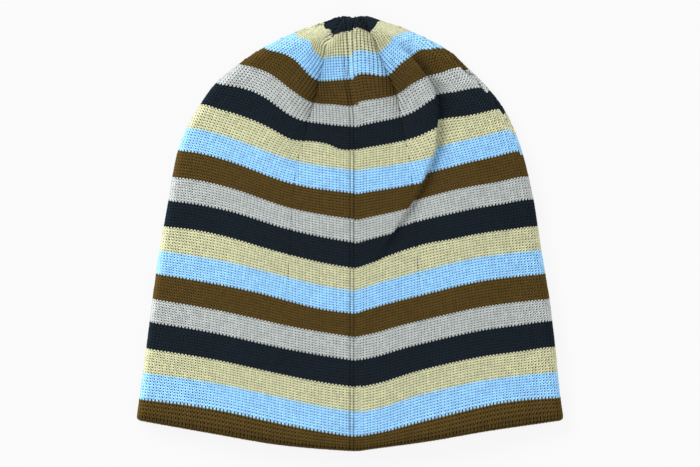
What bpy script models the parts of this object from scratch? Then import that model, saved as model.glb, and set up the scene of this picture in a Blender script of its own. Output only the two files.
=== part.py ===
"""Striped skull cap: a fine knitted cap without a cuff, lying on its front.

The cap is a tube of plain knit, doubled at the hem so that its wall is two layers thick, closed
by one back seam and by six darts that meet at the top of the crown. All of it is one piece of
cloth, so it is one hollow solid, open at the hem.

It lies as it was put down: its front on the ground, its back upwards, the crown towards +Y and
the open hem towards -Y. The origin is on the ground in the middle of the cap. Lengths are in
metres.
"""

from typing import NamedTuple

import bmesh
import bpy
import numpy as np

# The cloth
HEM_WIDTH = 0.220
CAP_LENGTH = 0.2255
WALL = 0.003

# How it lies: the room left in the bend of its side folds and of its crown, as radii
SIDE_FOLD_ROOM = 0.002
CROWN_RIM_ROOM = 0.008

# The room between its back and its front along the middle, at crown, half way and hem
CROWN_ROOM = 0.0185
MIDDLE_ROOM = 0.0155
HEM_ROOM = 0.0105
# Where that room is measured, and where the crown's bend becomes the side folds' bend, as
# shares of the way from crown to hem, and how square the back's arch is from side to side
CROWN_PLACE = 0.14
MIDDLE_PLACE = 0.50
RIM_END = 0.24
ARCH_POWER = 2.4
# Where the bow of each half starts, as a share of the way out, and where it is fullest: half way
# out at 1, and nearer to the side the lower the number
BOW_START = 0.03
BOW_PLACE = 0.85

# Relief of the cloth: dart valleys, back seam, the crease on the right, and soft dents
DART_DEPTH = 0.0036
DART_WIDTH = 0.0042
SEAM_DEPTH = 0.0006
SEAM_WIDTH = 0.0016
CREASE_DEPTH = 0.0042
CREASE_WIDTH = 0.0045
CREASE_REACH = 0.024
DENT_DEPTH = 0.0012

# Stripes, counted from the top of the crown along the back seam, the last one narrowed by the hem
STRIPES_DOWN = 18.6
STRIPE_COLOURS = {
    "navy": (0.010, 0.017, 0.026),
    "beige": (0.591, 0.552, 0.323),
    "blue": (0.266, 0.545, 0.823),
    "brown": (0.078, 0.047, 0.012),
    "grey": (0.381, 0.402, 0.396),
}
KNIT_ROUGHNESS = 0.92

# Towards the top of the crown, a side fold and a dart are no wider than these shares of the reach
SHARPEST_FOLD = 0.6
NARROWEST_DART = 0.2

# Points this close are one, and slopes are measured over this share of the cloth
MERGE = 1e-5
NUDGE = 1e-4


class Section(NamedTuple):
    """One course of the knit, from its place on the back seam to the cap's side.

    along: how far down the cloth it lies, as a share of the way from crown to hem.
    left, right: how far it reaches on each side of the seam, as shares of half the hem width.
    side, seam: how far below the top of the crown it lies at the sides and at the seam, as
        shares of the cap's length.
    dart_place: where the dart crosses it, as a share of the way round from seam to side.
    dart, flank: how far it has come down from its side to its seam level, at the dart and half
        way from the dart to the side.
    left_bow, right_bow: how much nearer to the crown each half bows half way out, as shares of
        the cap's length.
    """

    along: float
    left: float
    right: float
    side: float
    seam: float
    dart_place: float
    dart: float
    flank: float
    left_bow: float
    right_bow: float


SECTIONS = (
    Section(0.000, 0.000, 0.000, 0.000, 0.000, 0.62, 1.00, 0.50, 0.000, 0.000),
    Section(0.027, 0.072, 0.075, 0.002, 0.008, 0.60, 1.03, 0.52, 0.000, 0.002),
    Section(0.054, 0.136, 0.150, 0.010, 0.030, 0.58, 1.06, 0.55, 0.000, 0.006),
    Section(0.108, 0.274, 0.264, 0.033, 0.087, 0.47, 1.03, 0.60, 0.002, 0.012),
    Section(0.161, 0.428, 0.408, 0.070, 0.142, 0.38, 1.02, 0.53, 0.004, 0.018),
    Section(0.215, 0.545, 0.511, 0.110, 0.200, 0.36, 0.97, 0.50, 0.004, 0.019),
    Section(0.269, 0.648, 0.606, 0.155, 0.255, 0.33, 0.93, 0.45, 0.005, 0.017),
    Section(0.323, 0.720, 0.684, 0.204, 0.304, 0.32, 0.88, 0.43, 0.006, 0.012),
    Section(0.376, 0.780, 0.741, 0.256, 0.353, 0.33, 0.86, 0.40, 0.006, 0.010),
    Section(0.430, 0.826, 0.790, 0.312, 0.408, 0.33, 0.84, 0.34, 0.005, 0.011),
    Section(0.538, 0.877, 0.847, 0.426, 0.521, 0.33, 0.74, 0.28, 0.003, 0.013),
    Section(0.645, 0.918, 0.882, 0.538, 0.629, 0.33, 0.71, 0.29, 0.002, 0.014),
    Section(0.753, 0.951, 0.920, 0.649, 0.739, 0.33, 0.71, 0.31, 0.000, 0.012),
    Section(0.860, 0.980, 0.948, 0.762, 0.849, 0.33, 0.70, 0.30, 0.000, 0.012),
    Section(0.950, 1.008, 0.968, 0.862, 0.947, 0.33, 0.70, 0.30, 0.005, 0.013),
    Section(1.000, 1.021, 0.979, 0.922, 1.000, 0.33, 0.85, 0.45, 0.003, 0.011),
)


class Groove(NamedTuple):
    """A valley that runs down the cloth, such as a sewn dart.

    turn: its place, in turns from the back seam.
    depth: its share of the dart depth.
    top, end: where it starts and where it has run out, as shares of the way down the cloth.
    """

    turn: float
    depth: float
    top: float
    end: float


# The six darts, and the groove inside the right edge, which has rolled up onto the back
GROOVES = (
    Groove(-1 / 12, 1.00, 0.02, 0.40),
    Groove(1 / 12, 1.00, 0.02, 0.40),
    Groove(-3 / 12, 0.12, 0.02, 0.40),
    Groove(3 / 12, 0.12, 0.02, 0.40),
    Groove(-5 / 12, 0.80, 0.02, 0.40),
    Groove(5 / 12, 0.80, 0.02, 0.40),
    Groove(0.236, 0.40, 0.15, 0.46),
)
GROOVE_START = 0.04


class CreasePoint(NamedTuple):
    """A point of the crease: down the cloth, across it from seam to right side, its strength."""

    along: float
    across: float
    strength: float


CREASE = (
    CreasePoint(0.19, 0.70, 0.0),
    CreasePoint(0.25, 0.67, 0.6),
    CreasePoint(0.32, 0.59, 1.0),
    CreasePoint(0.38, 0.52, 1.0),
    CreasePoint(0.44, 0.42, 0.9),
    CreasePoint(0.49, 0.32, 0.7),
    CreasePoint(0.55, 0.22, 0.4),
    CreasePoint(0.61, 0.12, 0.0),
)
RIDGE_SHARE = 0.35


class Dent(NamedTuple):
    """A soft dent or swelling of the back.

    turn, along: its middle, in turns from the back seam and as a share down the cloth.
    out: how far it stands out, as a share of the dent depth.
    wide, high: its half width and half height, as shares of the hem width and cap length.
    """

    turn: float
    along: float
    out: float
    wide: float
    high: float


DENTS = (
    Dent(-0.080, 0.37, -1.0, 0.035, 0.045),
    Dent(-0.118, 0.34, 0.8, 0.045, 0.050),
    Dent(-0.055, 0.35, 0.5, 0.040, 0.040),
    Dent(0.030, 0.22, -0.5, 0.020, 0.060),
    Dent(-0.150, 0.52, -0.6, 0.090, 0.050),
    Dent(0.130, 0.72, 0.5, 0.110, 0.060),
)

# Columns of the mesh from a middle to a side, closer at the seam, the darts and the side fold
COLUMN_PLACES = (
    0.0, 0.015, 0.05, 0.11, 0.17, 0.23, 0.28, 0.31, 1 / 3, 0.36, 0.40, 0.45, 0.50, 0.55, 0.60,
    0.65, 0.70, 0.76, 0.82, 0.875, 0.92, 0.96, 1.0,
)
# Rows of the mesh: in stripes at the crown, then every half stripe, then turned in at the hem
CROWN_ROWS = (0.0, 0.12, 0.3, 0.6, 1.0, 1.5)
ROWS_PER_STRIPE = 2
HEM_ANGLES = (30, 90, 150)
# Rows up the inside, as shares of the way from crown to hem
INSIDE_ROWS = (
    1.0, 0.968, 0.89, 0.81, 0.70, 0.59, 0.51, 0.457, 0.403, 0.35, 0.30, 0.242, 0.194, 0.15,
    0.108, 0.07, 0.038, 0.016, 0.0,
)


def column(table, name):
    """Return one named column of a table as an array."""
    return np.array([getattr(row, name) for row in table])


def smooth_curve(knots, values, at):
    """Return the curve through the knots at some places; it never overshoots its values."""
    knots, values = (np.asarray(k, float).reshape(len(k), -1) for k in (knots, values))
    at = np.clip(np.asarray(at, float), knots[0], knots[-1])
    knots, values = (np.broadcast_to(k, (len(k), at.size)) for k in (knots, values))
    step = np.diff(knots, axis=0)
    slope = np.diff(values, axis=0) / step
    before, after = slope[:-1], slope[1:]
    steepest = 3 * np.minimum(np.abs(before), np.abs(after)) * (before * after > 0)
    inner = np.clip((before + after) / 2, -steepest, steepest)
    first, last = (3 * slope[[0, -1]] - inner[[0, -1]]) / 2
    first = np.where(first * slope[0] > 0, first, 0.0)
    last = np.where(last * slope[-1] > 0, last, 0.0)
    tangent = np.concatenate([first[None], inner, last[None]])
    span = (at > knots[1:-1]).sum(axis=0)[None]
    start, size = (np.take_along_axis(k, span, 0)[0] for k in (knots, step))
    low, high = (np.take_along_axis(values, span + k, 0)[0] for k in (0, 1))
    leave, arrive = (np.take_along_axis(tangent, span + k, 0)[0] for k in (0, 1))
    t = (at - start) / size
    rise = t * t * (3 - 2 * t)
    bend = size * (leave * t * (1 - t) ** 2 - arrive * t * t * (1 - t))
    return low + (high - low) * rise + bend


def smooth_step(low, high, at):
    """Return 0 below low and 1 above high, with a smooth rise between."""
    t = np.clip((at - low) / (high - low), 0.0, 1.0)
    return t * t * (3 - 2 * t)


def section(name, along):
    """Return one column of the sections at some places along the cloth."""
    return smooth_curve(column(SECTIONS, "along"), column(SECTIONS, name), along)


def across_cap(turn):
    """Return the side of the seam, whether it is the back, and the share from middle to side."""
    turn = (np.asarray(turn) + 0.5) % 1.0 - 0.5
    quarters = 4 * np.abs(turn)
    back = quarters <= 1
    return np.where(turn < 0, -1.0, 1.0), back, np.where(back, quarters, 2 - quarters)


def side_reach(right, along):
    """Return how far the cap reaches from the seam to its left or right side."""
    return HEM_WIDTH / 2 * np.where(right > 0, section("right", along), section("left", along))


def smooth_cap(turn, along):
    """Return points of the cap before its relief, by turns from the back seam and share down."""
    right, back, across = across_cap(turn)
    along = np.clip(along, 0.0, 1.0)
    reach = side_reach(right, along)
    side_fold = SIDE_FOLD_ROOM + WALL
    crown_rim = CROWN_RIM_ROOM + WALL

    dart_place = section("dart_place", along)
    inner_gore = dart_place * across * 3
    outer_gore = dart_place + (1 - dart_place) * (across - 1 / 3) * 1.5
    across = np.where(across < 1 / 3, inner_gore, outer_gore)

    fold = np.minimum(side_fold, SHARPEST_FOLD * reach)
    flat = reach - fold
    flat_share = flat / np.maximum(flat + fold * np.pi / 2, MERGE)
    bend = np.clip((across - flat_share) / np.maximum(1 - flat_share, MERGE), 0, 1) * np.pi / 2
    flat_run = np.minimum(across / np.maximum(flat_share, MERGE), 1.0)
    x = right * (flat * flat_run + fold * np.sin(bend))

    seam_end, side_end = np.zeros_like(across), np.ones_like(across)
    places = np.array([seam_end, dart_place, (dart_place + 1) / 2, side_end])
    level = np.array([side_end, section("dart", along), section("flank", along), seam_end])
    side, seam = section("side", along), section("seam", along)
    skin_length = CAP_LENGTH - WALL / 2
    y = -skin_length * (side + (seam - side) * smooth_curve(places, level, across))
    share_out = np.abs(x) / np.maximum(reach, MERGE)
    bow = np.where(right > 0, section("right_bow", along), section("left_bow", along))
    bow_run = np.clip((share_out - BOW_START) / (1 - BOW_START), 0.0, 1.0)
    y += CAP_LENGTH * bow * np.sin(np.pi * bow_run ** BOW_PLACE)

    over_rim = np.minimum(skin_length * seam / crown_rim, 1.0)
    nose = np.sqrt(np.maximum(1 - (1 - over_rim) ** 2, 0.0))
    rim = crown_rim + (side_fold - crown_rim) * smooth_step(0.0, RIM_END, along)
    rooms = (CROWN_ROOM, CROWN_ROOM, MIDDLE_ROOM, HEM_ROOM)
    height = smooth_curve((0.0, CROWN_PLACE, MIDDLE_PLACE, 1.0), rooms, along) + 2 * WALL
    arch = (height - rim - side_fold) * (1 - share_out ** ARCH_POWER)
    upper = rim + (side_fold * np.cos(bend) + arch) * nose
    lower = rim * (1 - np.cos(bend) * nose)
    return np.stack([x, y, np.where(back, upper, lower)], axis=-1)


def outward(turn, along):
    """Return the direction that points out of the cloth."""
    along = np.clip(along, 2 * NUDGE, 1 - 2 * NUDGE)
    round_cap = smooth_cap(turn + NUDGE, along) - smooth_cap(turn - NUDGE, along)
    down_cap = smooth_cap(turn, along + NUDGE) - smooth_cap(turn, along - NUDGE)
    normal = np.cross(down_cap, round_cap)
    return normal / np.linalg.norm(normal, axis=-1, keepdims=True)


def groove_relief(turn, along, reach):
    """Return how far the cloth stands out at its grooves, which draw it into valleys."""
    width = np.minimum(DART_WIDTH, NARROWEST_DART * reach) + MERGE
    out = np.zeros_like(reach)
    for groove in GROOVES:
        deep = smooth_step(groove.top, groove.top + GROOVE_START, along)
        deep = deep * (1 - smooth_step(groove.end / 2, groove.end, along))
        away = np.abs((turn - groove.turn + 0.5) % 1.0 - 0.5) * 4 * reach
        out -= DART_DEPTH * groove.depth * deep * np.exp(-away / width)
    return out


def crease_relief(across, along, reach):
    """Return how far the right side of the back stands out beside the crease."""
    places = column(CREASE, "along")
    line = smooth_curve(places, column(CREASE, "across"), along)
    strength = smooth_curve(places, column(CREASE, "strength"), along)
    away = (across - line) * reach
    past = smooth_step(-CREASE_WIDTH, CREASE_WIDTH, away)
    ridge = RIDGE_SHARE * np.exp(-(away / CREASE_REACH) ** 2) * (1 - past)
    dip = (1 - RIDGE_SHARE) * np.exp(-np.maximum(away, 0) / CREASE_REACH) * past
    near_side = smooth_step(0.85, 1.0, across)
    return CREASE_DEPTH * strength * (1 - near_side) * (ridge - dip)


def dent_relief(turn, along, reach):
    """Return how far the cloth stands out at its soft dents and swellings."""
    out = np.zeros_like(reach)
    for dent in DENTS:
        aside = (turn - dent.turn) * 4 * reach / (dent.wide * HEM_WIDTH)
        down = (along - dent.along) / dent.high
        out += DENT_DEPTH * dent.out * np.exp(-aside ** 2 - down ** 2)
    return out


def relief(turn, along):
    """Return how far the cloth stands out of the smooth cap."""
    right, back, across = across_cap(turn)
    reach = side_reach(right, along)
    from_seam = across * reach / SEAM_WIDTH
    seam = -SEAM_DEPTH * np.exp(-from_seam ** 2) * smooth_step(0.0, GROOVE_START, along)
    crease = crease_relief(across, along, reach) * (right > 0)
    dents = dent_relief(turn, along, reach) * (1 - smooth_step(0.8, 1.0, across))
    return groove_relief(turn, along, reach) + back * (seam + crease + dents)


def skin(turn, along, depth):
    """Return points of the cloth at some depth under its outer face."""
    direction = outward(turn, along)
    direction[along <= 0] = (0.0, 1.0, 0.0)
    return smooth_cap(turn, along) + (relief(turn, along) - depth)[:, None] * direction


def hem_ring(turn, angle):
    """Return points round the hem's folded edge, by its angle from outside to inside."""
    edge = np.ones_like(turn)
    down = smooth_cap(turn, edge) - smooth_cap(turn, edge - NUDGE)
    down /= np.linalg.norm(down, axis=-1, keepdims=True)
    round_edge = np.cos(angle) * outward(turn, edge) + np.sin(angle) * down
    return skin(turn, edge, WALL / 2) + WALL / 2 * round_edge


def outside_rows():
    """Return the rows of the mesh down the outside, as shares of the way from crown to hem."""
    first = int(ROWS_PER_STRIPE * CROWN_ROWS[-1]) + 1
    regular = [row / ROWS_PER_STRIPE for row in range(first, int(ROWS_PER_STRIPE * STRIPES_DOWN))]
    last = (regular[-1] + STRIPES_DOWN) / 2
    return [row / STRIPES_DOWN for row in (*CROWN_ROWS, *regular, last, STRIPES_DOWN)]


def cap_columns():
    """Return the columns of the mesh, in turns from the front middle round and back to it."""
    quarter = np.array(COLUMN_PLACES) / 4
    half = np.concatenate([quarter, 0.5 - quarter[-2::-1]])
    return np.concatenate([-half[::-1], half[1:]])


def knit_material(name, colour):
    """Return a matt yarn of one colour."""
    material = bpy.data.materials.new(name)
    material.use_nodes = True
    shader = material.node_tree.nodes["Principled BSDF"]
    shader.inputs["Base Color"].default_value = (*colour, 1.0)
    shader.inputs["Roughness"].default_value = KNIT_ROUGHNESS
    return material


def make_knit_shell():
    """Make the cap: one sheet rolled round, turned in at the hem and closed at the crown."""
    turns = cap_columns()
    outside = outside_rows()
    rings = [skin(turns, np.full_like(turns, along), 0.0) for along in outside]
    rings += [hem_ring(turns, np.radians(angle)) for angle in HEM_ANGLES]
    rings += [skin(turns, np.full_like(turns, along), WALL) for along in INSIDE_ROWS]
    rings = np.array(rings)
    middle = (rings.min(axis=(0, 1)) + rings.max(axis=(0, 1))) / 2
    rings[..., :2] -= middle[:2]

    sheet = bmesh.new()
    rows, columns = len(rings), len(turns)
    bmesh.ops.create_grid(sheet, x_segments=columns - 1, y_segments=rows - 1, size=0.5)
    row_of = {}
    for vert in sheet.verts:
        row_of[vert] = round((vert.co.y + 0.5) * (rows - 1))
        vert.co = rings[row_of[vert], round((vert.co.x + 0.5) * (columns - 1))]

    places = [*outside, *(1.0 for _ in HEM_ANGLES), *INSIDE_ROWS]
    for face in sheet.faces:
        row = min(row_of[vert] for vert in face.verts)
        stripe = int((places[row] + places[row + 1]) / 2 * STRIPES_DOWN)
        face.material_index = stripe % len(STRIPE_COLOURS)
        face.smooth = True
    bmesh.ops.remove_doubles(sheet, verts=sheet.verts, dist=MERGE)
    bmesh.ops.recalc_face_normals(sheet, faces=sheet.faces)

    mesh = bpy.data.meshes.new("knit_shell")
    sheet.to_mesh(mesh)
    sheet.free()
    for name, colour in STRIPE_COLOURS.items():
        mesh.materials.append(knit_material(f"{name}_knit", colour))
    shell = bpy.data.objects.new("knit_shell", mesh)
    bpy.context.scene.collection.objects.link(shell)
    return shell


def main():
    """Clear the scene and make the cap."""
    for old in list(bpy.data.objects):
        bpy.data.objects.remove(old, do_unlink=True)
    make_knit_shell()


main()
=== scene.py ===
"""Looks of the striped skull cap: its knitted stitches, its double cloth and the studio.

The cap lies on its front, its back upwards, on the frame that the CAD part gives. Its cloth
follows that part's named sizes, and sections close to that part's, finer. On it lie the stitches:
one is modelled, repeated into a flat swatch, and the swatch is laid on the cap stripe by stripe,
between the sewn lines. Lengths are in metres. Places on the cloth are turns round it from the
back seam, and shares or stripes down it from the crown.
"""

import logging
from dataclasses import dataclass, field
from enum import Enum
from typing import NamedTuple

import bpy
import numpy as np
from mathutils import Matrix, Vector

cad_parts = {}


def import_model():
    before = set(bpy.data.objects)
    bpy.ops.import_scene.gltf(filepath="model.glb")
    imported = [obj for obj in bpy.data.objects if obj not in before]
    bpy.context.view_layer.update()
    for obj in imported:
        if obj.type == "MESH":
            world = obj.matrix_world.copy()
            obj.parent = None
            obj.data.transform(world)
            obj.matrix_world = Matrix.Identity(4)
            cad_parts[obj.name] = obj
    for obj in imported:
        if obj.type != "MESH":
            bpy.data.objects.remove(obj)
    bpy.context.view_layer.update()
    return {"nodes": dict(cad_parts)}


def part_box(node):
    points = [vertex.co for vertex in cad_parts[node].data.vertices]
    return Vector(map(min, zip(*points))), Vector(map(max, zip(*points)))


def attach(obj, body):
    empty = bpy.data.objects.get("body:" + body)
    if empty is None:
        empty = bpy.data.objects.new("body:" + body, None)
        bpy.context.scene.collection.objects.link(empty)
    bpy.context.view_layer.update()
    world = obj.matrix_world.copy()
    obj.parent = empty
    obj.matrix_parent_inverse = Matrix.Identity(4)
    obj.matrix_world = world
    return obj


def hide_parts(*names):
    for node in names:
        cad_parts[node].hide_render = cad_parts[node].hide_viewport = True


log = logging.getLogger("skull_cap")

MM = 0.001
CAP_NODE = "knit_shell"
BODY = "root"

# Points this close are one, slopes are measured over this share of the cloth, and a normal is
# never divided by less than this length
MERGE = 1e-5
NUDGE = 1e-4
TINY = 1e-12

# No wale is measured nearer to the crown's tip than this share of the way down
CROWN_TIP = 0.004
# One column of the knit as it lies flat
WALE = 0.00165
# Painted shade: how bright the cloth under the stitches is painted, as it lies in their shade
GROUND_SHADE = 0.42


class YarnColour(Enum):
    """The five dyed yarns, as sRGB hex values, in the order in which their stripes follow."""

    NAVY = "#18232C"
    BEIGE = "#CFCFAC"
    BLUE = "#A3D5F9"
    BROWN = "#5B481F"
    GREY = "#BFC4C2"


STRIPE_ORDER = tuple(YarnColour)
DARK_YARNS = (YarnColour.NAVY, YarnColour.BROWN)


class Section(NamedTuple):
    """One course of the knit, from its place on the back seam to the cap's side.

    along: how far down the cloth it lies, as a share of the way from crown to hem.
    left, right: how far it reaches on each side of the seam, as shares of half the hem width.
    side, seam: how far below the crown's top it lies there, as shares of the cap's length.
    dart_place: where the dart crosses it, as a share of the way round from seam to side.
    dart, flank: how far it has come down from its side to its seam level, at the dart and half
        way from the dart to the side.
    left_bow, right_bow: how much nearer to the crown each half bows half way out, as shares of
        the cap's length.
    """

    along: float
    left: float
    right: float
    side: float
    seam: float
    dart_place: float
    dart: float
    flank: float
    left_bow: float
    right_bow: float


SECTIONS = (
    Section(0.000, 0.000, 0.000, 0.000, 0.000, 0.63, 1.00, 0.50, 0.000, 0.000),
    Section(0.027, 0.072, 0.075, 0.002, 0.008, 0.63, 1.03, 0.52, 0.000, 0.002),
    Section(0.054, 0.136, 0.150, 0.010, 0.030, 0.65, 1.06, 0.55, 0.000, 0.006),
    Section(0.108, 0.276, 0.274, 0.033, 0.087, 0.45, 1.03, 0.60, 0.002, 0.012),
    Section(0.161, 0.432, 0.426, 0.070, 0.142, 0.355, 1.02, 0.53, 0.004, 0.018),
    Section(0.215, 0.554, 0.532, 0.110, 0.200, 0.344, 0.97, 0.50, 0.004, 0.019),
    Section(0.269, 0.660, 0.624, 0.155, 0.255, 0.33, 0.93, 0.45, 0.005, 0.017),
    Section(0.323, 0.730, 0.700, 0.204, 0.304, 0.32, 0.88, 0.43, 0.006, 0.012),
    Section(0.376, 0.789, 0.752, 0.256, 0.353, 0.33, 0.86, 0.40, 0.006, 0.010),
    Section(0.430, 0.833, 0.792, 0.312, 0.408, 0.33, 0.84, 0.34, 0.005, 0.011),
    Section(0.538, 0.877, 0.847, 0.426, 0.521, 0.33, 0.74, 0.28, 0.003, 0.013),
    Section(0.645, 0.918, 0.882, 0.538, 0.629, 0.33, 0.71, 0.29, 0.002, 0.014),
    Section(0.753, 0.951, 0.920, 0.649, 0.739, 0.33, 0.71, 0.31, 0.000, 0.012),
    Section(0.860, 0.980, 0.948, 0.762, 0.849, 0.33, 0.70, 0.30, 0.000, 0.012),
    Section(0.950, 1.008, 0.968, 0.862, 0.947, 0.33, 0.70, 0.30, 0.005, 0.013),
    Section(1.000, 1.026, 0.986, 0.926, 1.000, 0.33, 0.85, 0.45, 0.003, 0.011),
)


class Groove(NamedTuple):
    """A valley that runs down the cloth, such as a sewn dart.

    turn: its place, in turns from the back seam.
    depth, width: its shares of the dart depth and the dart width.
    top, end: where it starts and where it has run out, as shares of the way down the cloth.
    """

    turn: float
    depth: float
    width: float
    top: float
    end: float


# The six darts, and the groove inside the right edge, which has rolled up onto the back. The
# narrow ones are the nips of the sewn lines in the middle of the wide valleys
GROOVES = (
    Groove(-1 / 12, 1.00, 1.00, 0.02, 0.40),
    Groove(1 / 12, 1.00, 1.00, 0.02, 0.40),
    Groove(-3 / 12, 0.12, 1.00, 0.02, 0.40),
    Groove(3 / 12, 0.12, 1.00, 0.02, 0.40),
    Groove(-5 / 12, 0.80, 1.00, 0.02, 0.40),
    Groove(5 / 12, 0.80, 1.00, 0.02, 0.40),
    Groove(0.241, 0.42, 0.80, 0.18, 0.46),
    Groove(-1 / 12, 0.35, 0.20, 0.02, 0.36),
    Groove(1 / 12, 0.35, 0.20, 0.02, 0.36),
    Groove(-5 / 12, 0.25, 0.22, 0.02, 0.42),
    Groove(5 / 12, 0.25, 0.22, 0.02, 0.42),
    Groove(0.241, 0.32, 0.20, 0.18, 0.46),
)
GROOVE_START = 0.04


class CreasePoint(NamedTuple):
    """A point of the crease: down the cloth, across it from seam to right side, its strength."""

    along: float
    across: float
    strength: float


CREASE = (
    CreasePoint(0.11, 0.600, 0.0),
    CreasePoint(0.15, 0.615, 1.0),
    CreasePoint(0.20, 0.620, 1.7),
    CreasePoint(0.25, 0.612, 1.5),
    CreasePoint(0.29, 0.578, 1.1),
    CreasePoint(0.33, 0.545, 1.0),
    CreasePoint(0.38, 0.488, 1.0),
    CreasePoint(0.43, 0.412, 0.9),
    CreasePoint(0.49, 0.310, 0.7),
    CreasePoint(0.55, 0.205, 0.4),
    CreasePoint(0.61, 0.110, 0.0),
)
RIDGE_SHARE = 0.35


class Dent(NamedTuple):
    """A soft dent or swelling of the back.

    turn, along: its middle, in turns from the back seam and as a share down the cloth.
    out: how far it stands out, as a share of the dent depth.
    wide, high: its half width and half height, as shares of the hem width and cap length.
    """

    turn: float
    along: float
    out: float
    wide: float
    high: float


DENTS = (
    Dent(-0.080, 0.37, -1.0, 0.035, 0.045),
    Dent(-0.118, 0.34, 0.8, 0.045, 0.050),
    Dent(-0.055, 0.35, 0.5, 0.040, 0.040),
    Dent(0.030, 0.22, -0.5, 0.020, 0.060),
    Dent(-0.150, 0.52, -0.6, 0.090, 0.050),
    Dent(0.130, 0.72, 0.5, 0.110, 0.060),
)


class SeamPoint(NamedTuple):
    """How the back seam's wales lean aside on one course.

    along: how far down the cloth.
    lean: how far right of the back's middle line the seam lies, in wales.
    left, right: the seam's two fine grooves, in wales from the seam.
    rim: how far towards the crown the stripes are pulled beyond the groove inside the right edge,
        in stripes.
    darts: how far right the two back darts lean, as a share of their way out.
    """

    along: float
    lean: float
    left: float
    right: float
    rim: float
    darts: float


SEAM = (
    SeamPoint(0.00, -2.60, -0.5, 0.5, 0.00, -0.25),
    SeamPoint(0.05, -2.55, -0.4, 0.5, 0.00, -0.25),
    SeamPoint(0.11, -2.20, -0.6, 0.5, 0.00, -0.11),
    SeamPoint(0.16, -1.80, -1.1, 0.0, -0.10, -0.04),
    SeamPoint(0.22, -0.20, -1.4, -0.4, -0.20, 0.04),
    SeamPoint(0.27, 0.35, -1.6, -0.5, -0.28, 0.03),
    SeamPoint(0.42, 0.35, -1.6, -0.5, -0.20, 0.00),
    SeamPoint(0.50, 0.35, -1.6, -0.5, 0.00, 0.00),
    SeamPoint(1.00, 0.35, -1.6, -0.5, 0.00, 0.00),
)


class StripePull(NamedTuple):
    """A place where the stripes sit off their even spacing.

    turn, along: its middle, in turns from the back seam and as a share down the cloth.
    up: how far towards the crown the stripes are pulled, in stripes.
    wide, high: its half width in turns and half height as a share of the way down.
    side: -1 for the left panel only, 1 for the right panel only, 0 for both.
    """

    turn: float
    along: float
    up: float
    wide: float
    high: float
    side: int


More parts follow.
